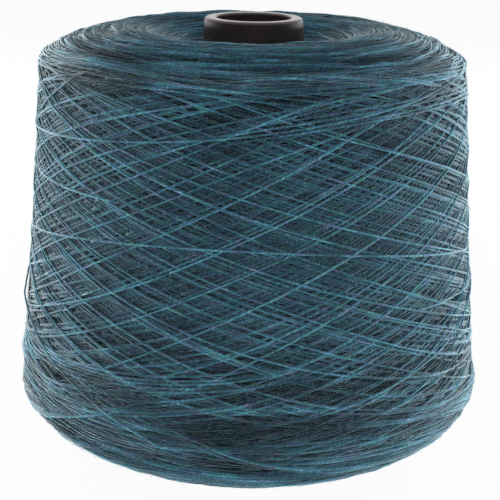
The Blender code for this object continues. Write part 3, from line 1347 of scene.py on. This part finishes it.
def make_heart_material():
    """Tightly packed yarn, its colour a painted deep shade."""
    material, tree, shader = new_material("packed_yarn_painted_shade", {
        "Roughness": 0.9,
        "Specular IOR Level": 0.1,
        "Sheen Weight": 0.8,
        "Sheen Roughness": 0.3,
        "Sheen Tint": SHEEN_TINT,
    })
    where = node(tree, "ShaderNodeTexCoord")
    mottle = noise(tree, where.outputs["Object"], MOTTLES_PER_METRE, 4.0)
    tree.links.new(ramp(tree, mottle, PACKED_YARN_PAINTED_SHADE), shader.inputs["Base Color"])
    add_relief(tree, shader, mottle, 0.2 * MM)
    return material


# %% Heart
HEART_COLUMNS = 240
HEART_ROWS = 200
HEART_BELOW_TUBES = 0.3 * MM
HEART_OFF_CONE = 0.1 * MM


def make_heart():
    """A turned body just under the tubes, closed along the plastic cone."""
    runs = np.linspace(0.0, run_table[-1], HEART_ROWS)
    lift = np.interp(runs, run_table, bottom_table - wound_table) - HEART_BELOW_TUBES
    radius = np.interp(runs, run_table, radius_table)
    radius = radius + np.interp(runs, run_table, outward_r_table) * lift
    height = np.interp(runs, run_table, height_table)
    height = height + np.interp(runs, run_table, outward_z_table) * lift
    radius = np.maximum(radius, [cone_radius(z) + HEART_OFF_CONE for z in height])
    ends = [height[-1], height[0]]
    radius = np.concatenate([radius, [cone_radius(z) + HEART_OFF_CONE for z in ends]])
    height = np.concatenate([height, ends])
    angle = np.arange(HEART_COLUMNS) * math.tau / HEART_COLUMNS
    corners = np.stack([
        radius[:, None] * np.cos(angle)[None, :],
        radius[:, None] * np.sin(angle)[None, :],
        np.broadcast_to(height[:, None], (len(height), HEART_COLUMNS)),
    ], axis=2).reshape(-1, 3)
    row = np.arange(len(radius))[:, None] * HEART_COLUMNS
    row_below = np.roll(row, -1, axis=0)
    column = np.arange(HEART_COLUMNS)[None, :]
    column_beside = np.roll(column, -1, axis=1)
    faces = np.stack([
        row + column,
        row_below + column,
        row_below + column_beside,
        row + column_beside,
    ], axis=2).reshape(-1, 4)
    return mesh_from("package_heart", corners, faces, make_heart_material())


heart = make_heart()
print("heart:", len(heart.data.polygons), "quads")

# %% [markdown]
# ## The plastic cone
#
# Only the nose of the cone shows. It is black plastic, moulded with a rounded, inward-turned lip
# that lets the yarn slide off without catching. Yarn that slid off over the rim has polished it, so
# its gloss changes over the last bit of its height. There the colour is also made pale, a painted
# highlight for the shine of the rim.

# %% Cone material
RIM_POLISH_AND_HIGHLIGHT_BAND = 0.9 * MM
RIM_POLISH_AND_HIGHLIGHT_FULL = 0.1 * MM
# Painted highlight: a pale colour on the rim for its shine.
RIM_PAINTED_HIGHLIGHT = (0.21, 0.176, 0.163, 1.0)
ROUGHNESS_NEW_TO_WORN = (0.50, 0.28)
GRAIN_PER_METRE = 700.0
MOULDED_PLASTIC = (
    (0.3, (0.0180, 0.0135, 0.0145)),
    (0.7, (0.0280, 0.0215, 0.0230)),
)


def make_cone_material():
    """Black moulded plastic with a faint orange-peel, polished at the rim, where a painted highlight
    lightens it.
    """
    material, tree, shader = new_material("black_moulded_plastic", {
        "Specular IOR Level": 0.12,
        "Specular Tint": (1.0, 0.90, 0.86, 1.0),
    })
    where = node(tree, "ShaderNodeTexCoord")
    grain = noise(tree, where.outputs["Object"], GRAIN_PER_METRE, 3.0)
    plastic = ramp(tree, grain, MOULDED_PLASTIC)
    split = node(tree, "ShaderNodeSeparateXYZ")
    tree.links.new(where.outputs["Object"], split.inputs[0])
    # The rim band is polished, with lower roughness, and gets the painted highlight colour.
    rim = (cone_high.z - RIM_POLISH_AND_HIGHLIGHT_BAND, cone_high.z - RIM_POLISH_AND_HIGHLIGHT_FULL)
    polish_and_highlight = remap(tree, split.outputs[2], rim)
    colour = node(tree, "ShaderNodeMix", data_type="RGBA")
    tree.links.new(polish_and_highlight, colour.inputs[0])
    tree.links.new(plastic, colour.inputs[6])
    colour.inputs[7].default_value = RIM_PAINTED_HIGHLIGHT
    tree.links.new(colour.outputs[2], shader.inputs["Base Color"])
    gloss = remap(tree, polish_and_highlight, (0.0, 1.0), ROUGHNESS_NEW_TO_WORN)
    tree.links.new(gloss, shader.inputs["Roughness"])
    add_relief(tree, shader, grain, 0.03 * MM, 0.25)
    return material


cone_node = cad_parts["winding_cone"]
cone_node.data.materials.clear()
cone_node.data.materials.append(make_cone_material())
print("finish of the cone:", cone_node.data.materials[0].name)

# %% [markdown]
# ## Riding on the solid model
#
# Everything rides on the one rigid body of the solid model.

# %% Finish
for piece in yarn_pieces + fibre_pieces + [heart]:
    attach(piece, "root")
    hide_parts("yarn_package")
